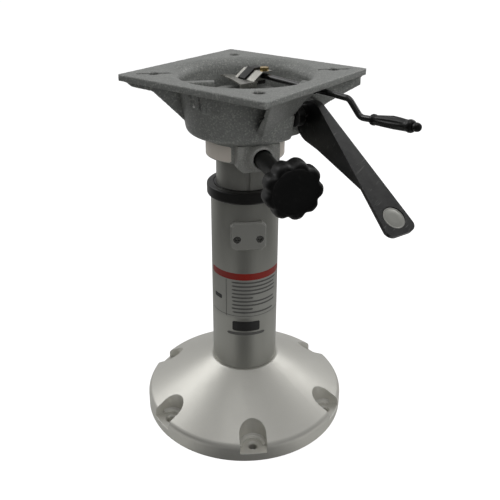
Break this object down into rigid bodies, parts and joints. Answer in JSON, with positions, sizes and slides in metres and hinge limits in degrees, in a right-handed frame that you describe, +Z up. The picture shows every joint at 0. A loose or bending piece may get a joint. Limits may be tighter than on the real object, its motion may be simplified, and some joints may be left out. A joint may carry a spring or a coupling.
{
  "type": "boat seat pedestal",
  "caption": "Swivelling, height-adjustable pedestal for a boat seat: cast foot, column tube, gas-sprung post and a square seat plate with release rod, brake lever and tension knob.",
  "frame": {"origin": "middle of the foot's underside, on the column's axis", "axes": "+Z up along the column, +X towards the side of the seat plate that has both levers, +Y to its left"},
  "size_m": [0.3171, 0.2286, 0.393],
  "materials": {
    "cast_grey": "rough cast, grey enamel",
    "foot_metal": "satin clear anodised",
    "tube_metal": "brushed clear anodised",
    "plate_metal": "satin",
    "collar_plastic": "matt black",
    "bearing_plastic": "matt black",
    "knob_plastic": "fine grained black",
    "lever_paint": "black powder coat",
    "disc_face": "blank silver",
    "rod_steel": "black",
    "grip_plastic": "matt black",
    "zinc_sheet": "bright zinc",
    "steel": "plain steel",
    "screw_steel": "stainless",
    "brass": "plain"
  },
  "bodies": {
    "foot": {"base_flange": "foot_metal", "column_tube": "tube_metal", "collar_bushing": "collar_plastic", "key_plate": "plate_metal", "guide_key": "bearing_plastic", "key_plate_screws": "screw_steel", "foot_disc": "steel", "gas_spring_rod": "steel", "gas_spring_piston": "bearing_plastic", "rod_nut": "steel"},
    "post": {"inner_post": "tube_metal", "post_guide_ring": "bearing_plastic", "gas_spring_cylinder": "rod_steel", "spring_mount_disc": "steel", "thrust_washer": "brass", "retaining_ring": "steel"},
    "mount": {"seat_mount_casting": "cast_grey", "swivel_neck": "cast_grey", "neck_screws": "screw_steel", "upper_bushing": "bearing_plastic", "lower_bushing": "bearing_plastic", "rod_bearing_block": "bearing_plastic", "rod_wall_bush": "bearing_plastic", "lever_pivot_pin": "steel"},
    "release": {"release_rod": "rod_steel", "release_grip": "grip_plastic", "release_plate": "zinc_sheet", "rod_clamp_nut": "brass"},
    "pin": {"release_pin": "steel"},
    "lever": {"paddle_lever": "lever_paint", "paddle_disc": "disc_face"},
    "plunger": {"brake_plunger": "steel"},
    "knob": {"tension_knob": "knob_plastic", "knob_stud": "steel"},
    "pad": {"friction_pad": "bearing_plastic"}
  },
  "joints": [
    {"name": "height_slide", "type": "slide", "parent": "foot", "child": "post", "axis": [0, 0, 1], "range_m": [-0.0255, 0.076]},
    {"name": "swivel", "type": "hinge", "parent": "post", "child": "mount", "pos_m": [0, 0, 0.34], "axis": [0, 0, 1], "continuous": true},
    {"name": "rod_turn", "type": "hinge", "parent": "mount", "child": "release", "pos_m": [0.00815, 0.03198, 0.382], "axis": [0.969, -0.247, 0], "range_deg": [0, 8], "stiffness_Nm_per_rad": 0.5, "springref_deg": -5.73},
    {"name": "pin_press", "type": "slide", "parent": "post", "child": "pin", "axis": [0, 0, -1], "range_m": [0, 0.0052]},
    {"name": "lever_lift", "type": "hinge", "parent": "mount", "child": "lever", "pos_m": [0.0664, 0.01344, 0.3615], "axis": [-0.309, -0.9511, 0], "range_deg": [0, 18], "stiffness_Nm_per_rad": 0.4, "springref_deg": -17.19},
    {"name": "plunger_slide", "type": "slide", "parent": "mount", "child": "plunger", "axis": [0.9511, -0.309, 0], "range_m": [0, 0.0013]},
    {"name": "knob_turn", "type": "hinge", "parent": "mount", "child": "knob", "pos_m": [0.0809, -0.05878, 0.32], "axis": [-0.809, 0.5878, 0], "range_deg": [0, 270]},
    {"name": "pad_slide", "type": "slide", "parent": "mount", "child": "pad", "axis": [-0.809, 0.5878, 0], "range_m": [0, 0.00095]}
  ],
  "couplings": [
    {"joint": "pin_press", "follows": "rod_turn", "m_per_rad": 0.0365},
    {"joint": "plunger_slide", "follows": "lever_lift", "m_per_rad": 0.00393},
    {"joint": "pad_slide", "follows": "knob_turn", "m_per_rad": 0.0002}
  ]
}
